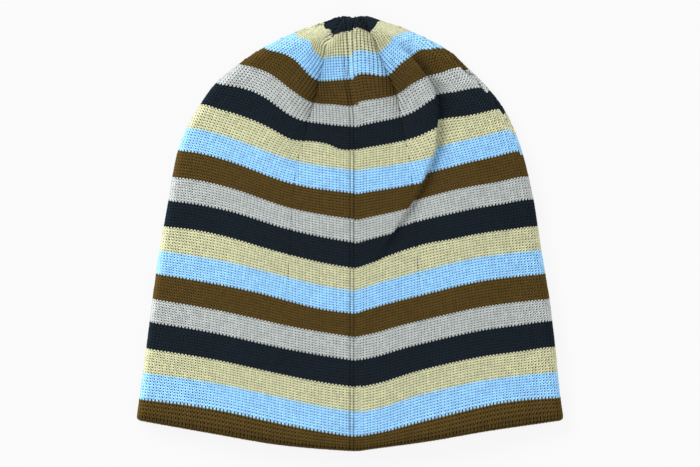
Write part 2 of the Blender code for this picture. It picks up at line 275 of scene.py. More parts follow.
STRIPE_PULLS = (
    StripePull(-0.185, 0.225, 0.32, 0.050, 0.080, 0),
    StripePull(-0.215, 0.400, 0.14, 0.050, 0.120, 0),
    StripePull(-0.075, 0.160, -0.20, 0.045, 0.060, 0),
    StripePull(-0.100, 0.323, -0.14, 0.022, 0.025, 0),
    StripePull(-0.022, 0.323, -0.12, 0.018, 0.022, 0),
    StripePull(-0.030, 0.620, -0.08, 0.045, 0.090, 0),
    StripePull(-0.030, 0.900, -0.08, 0.050, 0.080, -1),
    StripePull(-0.170, 0.970, 0.06, 0.100, 0.040, 0),
    StripePull(0.030, 0.900, -0.17, 0.035, 0.080, 1),
    StripePull(0.200, 0.970, 0.12, 0.080, 0.040, 0),
    StripePull(0.160, 0.440, -0.09, 0.050, 0.100, 0),
    StripePull(0.235, 0.500, 0.10, 0.025, 0.120, 0),
    StripePull(0.165, 0.130, 0.32, 0.050, 0.070, 0),
    StripePull(0.075, 0.150, -0.24, 0.030, 0.050, 0),
    StripePull(0.000, 0.090, 0.14, 0.035, 0.070, 1),
    StripePull(-0.020, 0.130, -0.07, 0.030, 0.050, -1),
    StripePull(0.010, 0.170, 0.06, 0.020, 0.030, 1),
    StripePull(0.000, 0.050, 0.08, 0.060, 0.020, 0),
    StripePull(0.200, 0.050, 0.22, 0.060, 0.030, 0),
    StripePull(0.180, 0.110, 0.07, 0.060, 0.025, 0),
    StripePull(-0.140, 0.165, 0.10, 0.060, 0.030, 0),
    StripePull(0.090, 0.540, 0.10, 0.035, 0.070, 0),
    StripePull(0.235, 0.850, 0.08, 0.025, 0.060, 0),
    StripePull(-0.200, 0.590, 0.07, 0.050, 0.030, 0),
    StripePull(-0.040, 0.700, -0.06, 0.040, 0.030, 0),
    StripePull(0.000, 0.968, -0.05, 0.300, 0.030, 0),
    StripePull(-0.015, 0.220, -0.07, 0.020, 0.030, -1),
    StripePull(0.010, 0.225, 0.06, 0.020, 0.030, 1),
    StripePull(0.152, 0.161, -0.17, 0.030, 0.030, 0),
    StripePull(0.215, 0.161, 0.20, 0.030, 0.030, 0),
    StripePull(0.118, 0.215, 0.19, 0.030, 0.028, 0),
    StripePull(0.168, 0.215, 0.16, 0.030, 0.030, 0),
    StripePull(0.225, 0.215, 0.24, 0.030, 0.030, 0),
    StripePull(-0.230, 0.215, 0.11, 0.030, 0.030, 0),
    StripePull(-0.105, 0.269, -0.08, 0.030, 0.030, 0),
    StripePull(-0.170, 0.108, 0.20, 0.030, 0.028, 0),
    StripePull(0.138, 0.108, -0.11, 0.022, 0.028, 0),
    StripePull(0.225, 0.108, 0.12, 0.030, 0.028, 0),
    StripePull(-0.110, 0.054, 0.15, 0.030, 0.025, 0),
    StripePull(0.100, 0.591, 0.06, 0.025, 0.025, 0),
    StripePull(0.030, 0.780, -0.07, 0.020, 0.040, 0),
    StripePull(-0.235, 0.323, 0.09, 0.015, 0.030, 0),
    StripePull(-0.110, 0.700, 0.05, 0.040, 0.050, 0),
    StripePull(0.110, 0.054, 0.08, 0.030, 0.025, 0),
    StripePull(0.150, 0.272, 0.22, 0.035, 0.030, 0),
    StripePull(0.170, 0.165, 0.10, 0.050, 0.025, 0),
    StripePull(0.150, 0.325, 0.10, 0.030, 0.030, 0),
    StripePull(0.130, 0.484, 0.06, 0.040, 0.030, 0),
    StripePull(-0.150, 0.300, 0.09, 0.070, 0.060, 0),
    StripePull(-0.070, 0.323, 0.08, 0.030, 0.030, 0),
    StripePull(0.000, 0.753, 0.04, 0.300, 0.020, 0),
    StripePull(0.207, 0.269, 0.07, 0.030, 0.025, 0),
    StripePull(0.133, 0.323, 0.07, 0.025, 0.025, 0),
    StripePull(-0.118, 0.215, 0.07, 0.025, 0.025, 0),
    StripePull(-0.041, 0.323, 0.07, 0.020, 0.022, 0),
    StripePull(0.067, 0.591, 0.07, 0.030, 0.025, 0),
)


def linear(hex_colour: str) -> tuple[float, float, float, float]:
    """Turn an sRGB hex colour to linear.

    Args:
        hex_colour: The colour as "#RRGGBB".

    Returns:
        The linear red, green and blue, and an alpha of 1.
    """
    parts = [int(hex_colour[k:k + 2], 16) / 255 for k in (1, 3, 5)]
    flat = [c / 12.92 if c <= 0.04045 else ((c + 0.055) / 1.055) ** 2.4 for c in parts]
    return (flat[0], flat[1], flat[2], 1.0)


def add_node(tree: bpy.types.NodeTree, kind: str, links: dict[str | int, object] | None = None,
             **settings: object) -> bpy.types.Node:
    """Add a node with its settings and links.

    Args:
        tree: The node tree to add it to.
        kind: The node's type name.
        links: Per input, by name or number, the output socket that feeds it or its value.
        settings: The node's own properties.

    Returns:
        The new node.
    """
    node = tree.nodes.new(kind)
    for name, value in settings.items():
        setattr(node, name, value)
    for socket, source in (links or {}).items():
        if isinstance(source, bpy.types.NodeSocket):
            tree.links.new(source, node.inputs[socket])
        else:
            node.inputs[socket].default_value = source
    return node


def smooth_step(low: float, high: float, at: np.ndarray) -> np.ndarray:
    """Return 0 below low and 1 above high, with a smooth rise between."""
    t = np.clip((at - low) / (high - low), 0.0, 1.0)
    return t * t * (3 - 2 * t)


def smooth_curve(knots: np.ndarray, values: np.ndarray, at: np.ndarray) -> np.ndarray:
    """Return the curve through some knots, which never overshoots its values.

    Args:
        knots: Where the values are given, one row per knot, the same or another at each place.
        values: The value at each knot, likewise.
        at: The places at which it is read.

    Returns:
        The curve's values at those places.
    """
    knots, values = (np.asarray(k, float).reshape(len(k), -1) for k in (knots, values))
    at = np.clip(np.asarray(at, float), knots[0], knots[-1])
    knots, values = (np.broadcast_to(k, (len(k), at.size)) for k in (knots, values))
    step = np.diff(knots, axis=0)
    slope = np.diff(values, axis=0) / step
    before, after = slope[:-1], slope[1:]
    steepest = 3 * np.minimum(np.abs(before), np.abs(after)) * (before * after > 0)
    inner = np.clip((before + after) / 2, -steepest, steepest)
    first, last = (3 * slope[[0, -1]] - inner[[0, -1]]) / 2
    first = np.where(first * slope[0] > 0, first, 0.0)
    last = np.where(last * slope[-1] > 0, last, 0.0)
    tangent = np.concatenate([first[None], inner, last[None]])
    span = (at > knots[1:-1]).sum(axis=0)[None]
    start, size = (np.take_along_axis(k, span, 0)[0] for k in (knots, step))
    low, high = (np.take_along_axis(values, span + k, 0)[0] for k in (0, 1))
    leave, arrive = (np.take_along_axis(tangent, span + k, 0)[0] for k in (0, 1))
    t = (at - start) / size
    bend = size * (leave * t * (1 - t) ** 2 - arrive * t * t * (1 - t))
    return low + (high - low) * t * t * (3 - 2 * t) + bend


class Curves:
    """The smooth curves of a table, one per column, read by how far down the cloth."""

    SAMPLES = 2001

    def __init__(self, table: tuple[NamedTuple, ...]) -> None:
        """Sample each column of the table finely.

        Args:
            table: Rows whose first column is along.
        """
        self.places = np.linspace(0.0, 1.0, self.SAMPLES)
        along = np.array([row.along for row in table])
        self.columns = {
            name: smooth_curve(along, np.array([getattr(row, name) for row in table]), self.places)
            for name in table[0]._fields[1:]
        }

    def at(self, name: str, along: np.ndarray) -> np.ndarray:
        """Return one column at some places down the cloth."""
        return np.interp(along, self.places, self.columns[name])


class Places(NamedTuple):
    """Places on the cap, each an array of one value a place.

    turn: turns round the cap from the back seam, from -0.5 to 0.5.
    along: shares of the way down the cloth.
    right: 1 on the seam's right and -1 on its left.
    back: whether it is the back.
    across: shares of the way out from the seam to the side.
    reach: how far the cap reaches to that side, in metres.
    """

    turn: np.ndarray
    along: np.ndarray
    right: np.ndarray
    back: np.ndarray
    across: np.ndarray
    reach: np.ndarray


@dataclass
class CapForm:
    """The cap's cloth as a surface, by turns round it and shares down it.

    hem_width, cap_length, wall: the CAD part's own sizes.
    side_fold_room, crown_rim_room: half the room inside the side folds and the crown's rim.
    rooms: the room between front and back at crown_place, at middle_place and at the hem.
    rim_end: where down the cloth the crown's rim has thinned to the side folds.
    arch_power: how squarely the back arches from side to side.
    bow_start, bow_place: where across the cloth a course starts to bow, and the power, under 1,
        that draws the bow's middle towards the seam.
    sharpest_fold, narrowest_dart: the most of the reach to the side that a fold's radius and a
        groove's width take up, near the crown's tip.
    dart, seam, crease, dent, gather: each relief's depth at full strength, and how wide it is.
    crease_step, crease_reach: half the width in which the stripes step at the crease, and how far
        its ridge and its dip reach.
    gathers: how many small folds go round the crown.
    crease_side_end, dent_side_end, gathers_end: where the crease and the dents start to fade
        towards the side, and where the crown's gathers have faded down the cloth.
    wale, stripes_down: how wide a column of the knit is, and how many stripes long the cap is.
    middle: what is taken off every point to set the cap on the CAD part's middle.
    """

    MEASURED_TURNS = 361
    MEASURED_ROWS = 187

    hem_width: float = 0.220
    cap_length: float = 0.2255
    wall: float = 0.003
    side_fold_room: float = 0.002
    crown_rim_room: float = 0.008
    rooms: tuple[float, float, float] = (0.0185, 0.0155, 0.0105)
    crown_place: float = 0.14
    middle_place: float = 0.50
    rim_end: float = 0.24
    arch_power: float = 2.4
    bow_start: float = 0.03
    bow_place: float = 0.85
    sharpest_fold: float = 0.6
    narrowest_dart: float = 0.2
    dart_depth: float = 0.0036
    dart_width: float = 0.0042
    seam_depth: float = 0.00060
    seam_width: float = 0.00045
    crease_depth: float = 0.0058
    crease_width: float = 0.0020
    crease_step: float = 0.0012
    crease_reach: float = 0.024
    crease_side_end: float = 0.85
    dent_depth: float = 0.0012
    dent_side_end: float = 0.80
    gather_depth: float = 0.0009
    gathers: int = 15
    gathers_end: float = 0.075
    wale: float = WALE
    stripes_down: float = 18.6
    middle: np.ndarray = field(default_factory=lambda: np.zeros(3))

    def __post_init__(self) -> None:
        """Sample the tables' curves."""
        self.sections = Curves(SECTIONS)
        self.crease = Curves(CREASE)
        self.seam = Curves(SEAM)

    def places(self, turn: np.ndarray, along: np.ndarray) -> Places:
        """Tell where some places lie on the cap.

        Args:
            turn: Turns round the cap from the back seam.
            along: Shares of the way down the cloth.

        Returns:
            The places.
        """
        turn = (turn + 0.5) % 1.0 - 0.5
        quarters = 4 * np.abs(turn)
        back = quarters <= 1
        across = np.where(back, quarters, 2 - quarters)
        right = np.where(turn < 0, -1.0, 1.0)
        left_share, right_share = (self.sections.at(name, along) for name in ("left", "right"))
        reach = self.hem_width / 2 * np.where(right > 0, right_share, left_share)
        return Places(turn, along, right, back, across, reach)

    def smooth(self, turn: np.ndarray, along: np.ndarray) -> np.ndarray:
        """Return points of the cap before its relief.

        Args:
            turn: Turns round the cap from the back seam.
            along: Shares of the way down the cloth.

        Returns:
            One row of x, y and z per place.
        """
        along = np.clip(along, 0.0, 1.0)
        _, _, right, back, across, reach = self.places(turn, along)
        side_fold = self.side_fold_room + self.wall
        crown_rim = self.crown_rim_room + self.wall

        # The sewn line, a third of the way round to the side, lies where the section has its dart
        dart_lean = right * self.seam.at("darts", along)
        dart_place = self.sections.at("dart_place", along) * (1 + np.where(back, dart_lean, 0.0))
        inner_gore = dart_place * across * 3
        outer_gore = dart_place + (1 - dart_place) * (across - 1 / 3) * 1.5
        across = np.where(across < 1 / 3, inner_gore, outer_gore)

        # The cloth lies flat nearly as far as the side, and there it folds round
        fold = np.minimum(side_fold, self.sharpest_fold * reach)
        flat = reach - fold
        flat_share = flat / np.maximum(flat + fold * np.pi / 2, MERGE)
        past_flat = (across - flat_share) / np.maximum(1 - flat_share, MERGE)
        bend = np.clip(past_flat, 0, 1) * np.pi / 2
        flat_run = np.minimum(across / np.maximum(flat_share, MERGE), 1.0)
        x = right * (flat * flat_run + fold * np.sin(bend))

        # A course comes down from the side by way of flank and dart to the seam, and bows
        seam_end, side_end = np.zeros_like(across), np.ones_like(across)
        places = np.array([seam_end, dart_place, (dart_place + 1) / 2, side_end])
        dart, flank = (self.sections.at(name, along) for name in ("dart", "flank"))
        level = smooth_curve(places, np.array([side_end, dart, flank, seam_end]), across)
        side, seam = (self.sections.at(name, along) for name in ("side", "seam"))
        skin_length = self.cap_length - self.wall / 2
        y = -skin_length * (side + (seam - side) * level)
        share_out = np.minimum(np.abs(x) / np.maximum(reach, MERGE), 1.0)
        left_bow, right_bow = (self.sections.at(name, along) for name in ("left_bow", "right_bow"))
        bow_run = np.clip((share_out - self.bow_start) / (1 - self.bow_start), 0.0, 1.0)
        bow = np.where(right > 0, right_bow, left_bow) * np.sin(np.pi * bow_run ** self.bow_place)
        y += self.cap_length * bow

        # The back arches over the room inside, and the crown's end is round as a nose
        over_rim = np.minimum(skin_length * seam / crown_rim, 1.0)
        nose = np.sqrt(np.maximum(1 - (1 - over_rim) ** 2, 0.0))
        rim = crown_rim + (side_fold - crown_rim) * smooth_step(0.0, self.rim_end, along)
        height_places = (0.0, self.crown_place, self.middle_place, 1.0)
        rooms = (self.rooms[0], *self.rooms)
        height = smooth_curve(height_places, rooms, along) + 2 * self.wall
        arch = (height - rim - side_fold) * (1 - share_out ** self.arch_power)
        upper = rim + (side_fold * np.cos(bend) + arch) * nose
        lower = rim * (1 - np.cos(bend) * nose)
        return np.stack([x, y, np.where(back, upper, lower)], axis=-1)

    def outward(self, turn: np.ndarray, along: np.ndarray) -> np.ndarray:
        """Find the direction that points out of the smooth cloth.

        Args:
            turn: Turns round the cap from the back seam.
            along: Shares of the way down the cloth.

        Returns:
            One unit vector per place.
        """
        along = np.clip(along, 2 * NUDGE, 1 - 2 * NUDGE)
        round_cap = self.smooth(turn + NUDGE, along) - self.smooth(turn - NUDGE, along)
        down_cap = self.smooth(turn, along + NUDGE) - self.smooth(turn, along - NUDGE)
        normal = np.cross(down_cap, round_cap)
        return normal / np.maximum(np.linalg.norm(normal, axis=-1, keepdims=True), TINY)

    def groove_relief(self, at: Places) -> np.ndarray:
        """Draw the cloth into valleys at its grooves.

        Args:
            at: The places.

        Returns:
            How far each one stands out, in metres.
        """
        out = np.zeros_like(at.reach)
        for groove in GROOVES:
            deep = smooth_step(groove.top, groove.top + GROOVE_START, at.along)
            deep = deep * (1 - smooth_step(groove.end / 2, groove.end, at.along))
            width = np.minimum(self.dart_width * groove.width, self.narrowest_dart * at.reach) + MERGE
            away = np.abs((at.turn - groove.turn + 0.5) % 1.0 - 0.5) * 4 * at.reach
            out -= self.dart_depth * groove.depth * deep * np.exp(-away / width)
        return out

    def crease_side(self, at: Places) -> np.ndarray:
        """Return how far right of the crease the places lie, in metres."""
        return (at.across - self.crease.at("across", at.along)) * at.reach

    def crease_relief(self, at: Places) -> np.ndarray:
        """Raise the cloth left of the crease and let it dip on the right.

        Args:
            at: The places.

        Returns:
            How far each one stands out, in metres.
        """
        away = self.crease_side(at)
        past = smooth_step(-self.crease_width, self.crease_width, away)
        ridge = RIDGE_SHARE * np.exp(-(away / self.crease_reach) ** 2) * (1 - past)
        dip = (1 - RIDGE_SHARE) * np.exp(-np.maximum(away, 0) / self.crease_reach) * past
        strength = self.crease.at("strength", at.along) * (at.right > 0)
        inner = 1 - smooth_step(self.crease_side_end, 1.0, at.across)
        return self.crease_depth * strength * inner * (ridge - dip)

    def dent_relief(self, at: Places) -> np.ndarray:
        """Press the soft dents into the cloth and raise its swellings.

        Args:
            at: The places.

        Returns:
            How far each one stands out, in metres.
        """
        out = np.zeros_like(at.reach)
        for dent in DENTS:
            aside = (at.turn - dent.turn) * 4 * at.reach / (dent.wide * self.hem_width)
            down = (at.along - dent.along) / dent.high
            out += self.dent_depth * dent.out * np.exp(-aside ** 2 - down ** 2)
        return out * (1 - smooth_step(self.dent_side_end, 1.0, at.across))

    def seam_relief(self, at: Places) -> np.ndarray:
        """Draw in the back seam's two fine grooves.

        Args:
            at: The places.

        Returns:
            How far each one stands out, in metres.
        """
        from_seam = at.turn * 4 * at.reach - self.seam.at("lean", at.along) * self.wale
        out = np.zeros_like(at.reach)
        for name in ("left", "right"):
            away = (from_seam - self.seam.at(name, at.along) * self.wale) / self.seam_width
            out -= self.seam_depth * np.exp(-away ** 2)
        return out * smooth_step(0.0, GROOVE_START, at.along)

    def gather_relief(self, at: Places) -> np.ndarray:
        """Make the small folds where the crown is drawn in.

        Args:
            at: The places.

        Returns:
            How far each one stands out, in metres.
        """
        rise = smooth_step(0.0, self.gathers_end / 3, at.along)
        fade = rise * (1 - smooth_step(0.0, self.gathers_end, at.along))
        return self.gather_depth * np.sin(2 * np.pi * self.gathers * at.turn) * fade

    def relief(self, at: Places) -> np.ndarray:
        """Return how far the cloth stands out of the smooth cap."""
        on_back = self.seam_relief(at) + self.crease_relief(at) + self.dent_relief(at)
        return self.groove_relief(at) + self.gather_relief(at) + at.back * on_back

    def skin(self, turn: np.ndarray, along: np.ndarray, depth: np.ndarray) -> np.ndarray:
        """Return points of the cloth at some depth under its outer face.

        Args:
            turn: Turns round the cap from the back seam.
            along: Shares of the way down the cloth.
            depth: Depths under the outer face, in metres.

        Returns:
            One row of x, y and z per place, in the CAD part's frame.
        """
        direction = self.outward(turn, along)
        direction[along <= 0] = (0.0, 1.0, 0.0)
        out = self.relief(self.places(turn, along)) - depth
        return self.smooth(turn, along) + out[:, None] * direction - self.middle

    def hem_stripes(self) -> float:
        """Return how much cloth goes round the hem's folded edge, in stripes."""
        return np.pi * self.wall / 2 * self.stripes_down / self.cap_length

    def wall_point(self, turn: np.ndarray, run: np.ndarray, height: np.ndarray) -> np.ndarray:
        """Return points on the doubled cloth: down the outside, round the hem, up the inside.

        Args:
            turn: Turns round the cap from the back seam.
            run: How far along the cloth, in stripes from the crown.
            height: Heights over the cloth's face, in metres.

        Returns:
            One row of x, y and z per place, in the CAD part's frame.
        """
        hem = self.hem_stripes()
        points = np.empty((len(turn), 3))
        outside = run <= self.stripes_down
        inside = run >= self.stripes_down + hem
        round_hem = ~outside & ~inside
        if outside.any():
            along = run[outside] / self.stripes_down
            points[outside] = self.skin(turn[outside], along, -height[outside])
        if inside.any():
            along = 1 - (run[inside] - hem - self.stripes_down) / self.stripes_down
            points[inside] = self.skin(turn[inside], along, self.wall + height[inside])
        if round_hem.any():
            turn, height = turn[round_hem], height[round_hem]
            angle = ((run[round_hem] - self.stripes_down) / hem * np.pi)[:, None]
            edge = np.ones_like(turn)
            down = self.smooth(turn, edge) - self.smooth(turn, edge - NUDGE)
            down /= np.linalg.norm(down, axis=-1, keepdims=True)
            out = np.cos(angle) * self.outward(turn, edge) + np.sin(angle) * down
            middle = self.skin(turn, edge, np.full_like(turn, self.wall / 2))
            points[round_hem] = middle + (self.wall / 2 + height)[:, None] * out
        return points

    def centre_on(self, low: tuple[float, ...], high: tuple[float, ...]) -> None:
        """Move the cap's origin so that its outer face fills the CAD part's box.

        Args:
            low: The box's lowest corner.
            high: The box's highest corner.
        """
        turns = np.linspace(-0.5, 0.5, self.MEASURED_TURNS)
        turn, along = np.meshgrid(turns, np.linspace(0.0, 1.0, self.MEASURED_ROWS))
        face = self.skin(turn.ravel(), along.ravel(), np.zeros(turn.size))
        hem_run = np.full_like(turns, self.stripes_down + self.hem_stripes() / 2)
        face = np.concatenate([face, self.wall_point(turns, hem_run, np.zeros_like(turns))])
        offset = (face.min(axis=0) + face.max(axis=0)) / 2 - (np.array(low) + np.array(high)) / 2
        self.middle = np.array([offset[0], offset[1], 0.0])


@dataclass
class StripeLayout:
    """Where each stripe, course and wale of the knit lies on the cap.

    courses, wales_per_gore, gores: how many courses a stripe has, wales a gore and gores the cap.
    crown_wale: how wide a wale is where the darts take wales in.
    step_wale: after which wale of the seam's gore the right panel starts.
    hole_up: how far above the line between two courses the painted shade of each pinhole lies, in
    courses.
    settled: how far the stripes are pulled up all over the cap, in stripes.
    dark_spread: how far the edge of a dark yarn's stripe spreads, in stripes.
    crease_shift, crease_fade, crease_starts: how far the crease pushes the stripes each way, in
        stripes, over what share of the reach that fades, and where down the cloth it sets in.
    rim_start, rim_end: between which turns the pull beyond the right groove sets in, and between
        which it ends.
    shift_start: how far from the crown's tip the pulls reach their full strength, in stripes.
    """

    form: CapForm
    courses: int = 9
    wales_per_gore: int = 41
    gores: int = 6
    crown_wale: float = 0.00166
    step_wale: float = 1.0
    hole_up: float = 0.18
    settled: float = -0.015
    dark_spread: float = 0.04
    crease_shift: float = 0.19
    crease_fade: float = 0.26
    crease_starts: tuple[float, float] = (0.22, 0.37)
    rim_start: tuple[float, float] = (0.2395, 0.2425)
    rim_end: tuple[float, float] = (0.30, 0.40)
    shift_start: float = 0.5

    def wales(self, along: np.ndarray) -> np.ndarray:
        """Count the wales left in a gore, which its darts take in towards the top.

        Args:
            along: How far down the cloth.

        Returns:
            The number of wales, not rounded.
        """
        sections = self.form.sections
        reach = self.form.hem_width / 2 * (sections.at("left", along) + sections.at("right", along))
        width = sections.at("dart_place", along) * reach
        return np.minimum(width / self.crown_wale, float(self.wales_per_gore))

    def turn(self, gore: np.ndarray, wale: np.ndarray, along: np.ndarray) -> np.ndarray:
        """Return the turn at which a wale runs.

        Args:
            gore: The gore's number, 0 for the one at the back seam.
            wale: How far from the gore's middle line, in wales.
            along: How far down the cloth.

        Returns:
            Turns from the back seam.
        """
        half = np.maximum(self.wales(along) / 2, MERGE)
        share = wale / half
        lean = self.form.seam.at("lean", along) * (gore == 0) * np.maximum(1 - np.abs(share), 0.0)
        return gore / self.gores + 0.5 / self.gores * (share + lean / half)

    def wale_at(self, gore: np.ndarray, turn: np.ndarray, along: np.ndarray) -> np.ndarray:
        """Find how far a turn is from its gore's middle line, as the inverse of turn.

        Args:
            gore: The gore's number, 0 for the one at the back seam.
            turn: Turns from the back seam.
            along: How far down the cloth.

        Returns:
            The distance in wales.
        """
        half = np.maximum(self.wales(along) / 2, MERGE)
        lean = self.form.seam.at("lean", along) * (gore == 0) / half
        share = (turn * self.gores - gore) * 2 - lean
        return half * share / (1 - np.sign(share) * lean)

    def knit_place(self, wale: np.ndarray, stripe: np.ndarray) -> np.ndarray:
        """Return places counted in wales and courses, so that each pinhole is at a half.

        Args:
            wale: How far from the gore's middle line, in wales.
            stripe: How far down the cloth, in stripes.

        Returns:
            One row of two counts and a zero per place.
        """
        across = wale + (self.wales_per_gore - 1) / 2
        up = 0.5 - self.hole_up - stripe * self.courses
        return np.stack([across, up, np.zeros_like(across)], axis=-1)

    def shift(self, turn: np.ndarray, along: np.ndarray, right_panel: np.ndarray) -> np.ndarray:
        """Find how far towards the crown the stripes are pulled.

        Args:
            turn: Turns from the back seam.
            along: How far down the cloth.
            right_panel: 1 where the place belongs to the panel right of the seam, 0 elsewhere.

        Returns:
            The shift of each place, in stripes.
        """
        at = self.form.places(turn, along)
        shift = np.full_like(at.reach, self.settled)
        for pull in STRIPE_PULLS:
            aside, down = (at.turn - pull.turn) / pull.wide, (along - pull.along) / pull.high
            panel = {-1: 1 - right_panel, 0: 1.0, 1: right_panel}[pull.side]
            shift = shift + pull.up * np.exp(-aside ** 2 - down ** 2) * panel
        away = self.form.crease_side(at)
        past = 2 * smooth_step(-self.form.crease_step, self.form.crease_step, away) - 1
        near = np.exp(-(np.abs(away) / (self.crease_fade * at.reach + MERGE)))
        crease = self.crease_shift * self.form.crease.at("strength", along) * past * near
        crease = crease * smooth_step(*self.crease_starts, along)
        shift = shift + crease * (at.back & (at.right > 0))
        beyond = smooth_step(*self.rim_start, at.turn) * (1 - smooth_step(*self.rim_end, at.turn))
        return shift + beyond * self.form.seam.at("rim", along)

    def spread(self, stripe: np.ndarray) -> np.ndarray:
        """Widen the two dark yarns' stripes a little, as those yarns are thicker.

        Args:
            stripe: How far down the cloth, in stripes.

        Returns:
            The same places after the widening.
        """
        edge = np.round(stripe)
        dark = np.array([colour in DARK_YARNS for colour in STRIPE_ORDER])
        above = dark[(edge.astype(int) - 1) % len(dark)].astype(float)
        below = dark[edge.astype(int) % len(dark)].astype(float)
        near = 1 - 2 * np.abs(stripe - edge)
        return stripe + self.dark_spread * (above - below) * near * (edge > 0.5)

    def run(self, turn: np.ndarray, stripe: np.ndarray, right_panel: np.ndarray) -> np.ndarray:
        """Find where a stripe's place comes to lie along the cloth.

        Args:
            turn: Turns from the back seam.
            stripe: The place, in stripes of even spacing from the crown.
            right_panel: 1 where the place belongs to the panel right of the seam, 0 elsewhere.

        Returns:
            The place along the cloth, in stripes.
        """
        down = self.form.stripes_down
        outside = stripe <= down
        shift = self.shift(turn, np.clip(stripe / down, 0.0, 1.0), right_panel)
        stripe = np.where(outside, self.spread(stripe), stripe)
        return stripe - shift * outside * smooth_step(0.0, self.shift_start, stripe)


class FlatStitch(NamedTuple):
    """One leg of a stitch, as it is modelled flat, in shares of a wale and a course.

    foot, head: where the leg starts and ends, across and up.
    half_width: its half width in wales.
    ridge: how long its ridge is, as a share of its length.
    """

    foot: tuple[float, float]
    head: tuple[float, float]
    half_width: float
    ridge: float


@dataclass(frozen=True)
class DyedYarn:
    """Acrylic knitting yarn, soft spun and dyed: matt, with a faint sheen of loose fibres.

    fibre_mm, blotch_mm: the grain of the spun fibres and of the dye. Real fibres are some 0.02 mm
        thick, so their mottle is drawn as coarse as it needs to show.
    brightness, tone_spread: how bright the dye looks on a middling stitch, and how much more or
        less it does on the brightest and the darkest.
    hole_size: half the width and height of the painted shade in the hole between two stitches, in wales
    and courses.
    hole_edge: where its edge starts and ends, in those halves.
    hole_dark: how bright the painted shade leaves the deepest and the shallowest holes.
    """

    colour: YarnColour
    roughness: float = 0.92
    sheen: float = 0.02
    sheen_roughness: float = 0.5
    specular: float = 0.1
    fibre_mm: float = 0.35
    fibre_detail: float = 3.0
    fibre_share: float = 0.35
    fibre_bump: float = 0.35
    fibre_bump_mm: float = 0.2
    blotch_mm: float = 6.0
    blotch_share: float = 0.05
    brightness: float = 1.105
    tone_spread: float = 0.32
    tone_ends: tuple[float, float] = (-0.2, 1.2)
    hole_size: tuple[float, float] = (0.27, 0.27)
    hole_edge: tuple[float, float] = (0.4, 1.3)
    hole_dark: tuple[float, float] = (0.0, 0.28)

    def material(self, darker: float = 1.0) -> bpy.types.Material:
        """Make the yarn's material.

        Args:
            darker: How bright the painted shade leaves the yarn, less than 1 where it lies in the shade
                of others.

        Returns:
            The new material.
        """
        name = f"acrylic_yarn_{self.colour.name.lower()}" + ("_shaded_ground" if darker < 1 else "")
        material = bpy.data.materials.new(name)
        material.use_nodes = True
        tree = material.node_tree
        shader = tree.nodes["Principled BSDF"]
        shader.inputs["Roughness"].default_value = self.roughness
        shader.inputs["Sheen Weight"].default_value = self.sheen
        shader.inputs["Sheen Roughness"].default_value = self.sheen_roughness
        shader.inputs["Specular IOR Level"].default_value = self.specular

        # Stitches differ a little in tone, and the spun fibres mottle each of them
        place = add_node(tree, "ShaderNodeTexCoord").outputs["Object"]
        fibres = add_node(tree, "ShaderNodeTexNoise", {
            "Vector": place, "Scale": 1 / (self.fibre_mm * MM), "Detail": self.fibre_detail})
        blotches = add_node(tree, "ShaderNodeTexNoise", {
            "Vector": place, "Scale": 1 / (self.blotch_mm * MM)})
        # The stitch tone holds each stitch's own tone less the painted shade of the cloth's narrow
        # hollows
        tone = add_node(tree, "ShaderNodeAttribute", attribute_name="stitch_tone_and_shade").outputs["Fac"]
        for pattern, share in ((fibres, self.fibre_share), (blotches, self.blotch_share)):
            tone = add_node(tree, "ShaderNodeMath", {
                0: pattern.outputs["Fac"], 1: share, 2: tone}, operation="MULTIPLY_ADD").outputs[0]
        bright = add_node(tree, "ShaderNodeMapRange", {
            "Value": tone, "From Min": self.tone_ends[0], "From Max": self.tone_ends[1],
            "To Min": darker * (self.brightness - self.tone_spread),
            "To Max": darker * (self.brightness + self.tone_spread)}, clamp=False)
        # Painted shade: the pinholes between the stitches darken the dye
        shaded = add_node(tree, "ShaderNodeMath", {
            0: bright.outputs["Result"], 1: self.pinhole_shade(tree)}, operation="MULTIPLY")
        dye = add_node(tree, "ShaderNodeVectorMath", {
            0: linear(self.colour.value)[:3], "Scale": shaded.outputs[0]}, operation="SCALE")
        tree.links.new(dye.outputs["Vector"], shader.inputs["Base Color"])
        bump = add_node(tree, "ShaderNodeBump", {
            "Height": fibres.outputs["Fac"], "Strength": self.fibre_bump,
            "Distance": self.fibre_bump_mm * MM})
        tree.links.new(bump.outputs["Normal"], shader.inputs["Normal"])
        return material

    def pinhole_shade(self, tree: bpy.types.NodeTree) -> bpy.types.NodeSocket:
        """Paint shade into the small hole between the heads of two stitches, one in each wale and
        course.

        Args:
            tree: The node tree to add the nodes to.

        Returns:
            The socket that gives how bright the painted shade leaves the yarn, from the hole's dark to
            1.
        """
        knit = add_node(tree, "ShaderNodeAttribute", attribute_name="knit_place").outputs["Vector"]
        cell = add_node(tree, "ShaderNodeVectorMath", {0: knit}, operation="FRACTION")
        stitch = add_node(tree, "ShaderNodeVectorMath", {0: knit}, operation="FLOOR")
        chance = add_node(tree, "ShaderNodeTexWhiteNoise", {"Vector": stitch.outputs["Vector"]})
        darkest = add_node(tree, "ShaderNodeMapRange", {
            "Value": chance.outputs["Value"], "To Min": self.hole_dark[0], "To Max": self.hole_dark[1]})
        scale = (*(1 / size for size in self.hole_size), 1.0)
        middle = (*(-0.5 / size for size in self.hole_size), 0.0)
        away = add_node(tree, "ShaderNodeVectorMath", {
            0: cell.outputs["Vector"], 1: scale, 2: middle}, operation="MULTIPLY_ADD")
        away = add_node(tree, "ShaderNodeVectorMath", {0: away.outputs["Vector"]}, operation="LENGTH")
        hole = add_node(tree, "ShaderNodeMapRange", {
            "Value": away.outputs["Value"],
            "From Min": self.hole_edge[0], "From Max": self.hole_edge[1],
            "To Min": darkest.outputs["Result"], "To Max": 1.0}, interpolation_type="SMOOTHSTEP")
        return hole.outputs["Result"]


def deselect_all() -> None:
    """Leave edit mode and deselect every object."""
    if bpy.context.object and bpy.context.object.mode != "OBJECT":
        bpy.ops.object.mode_set(mode="OBJECT")
    bpy.ops.object.select_all(action="DESELECT")


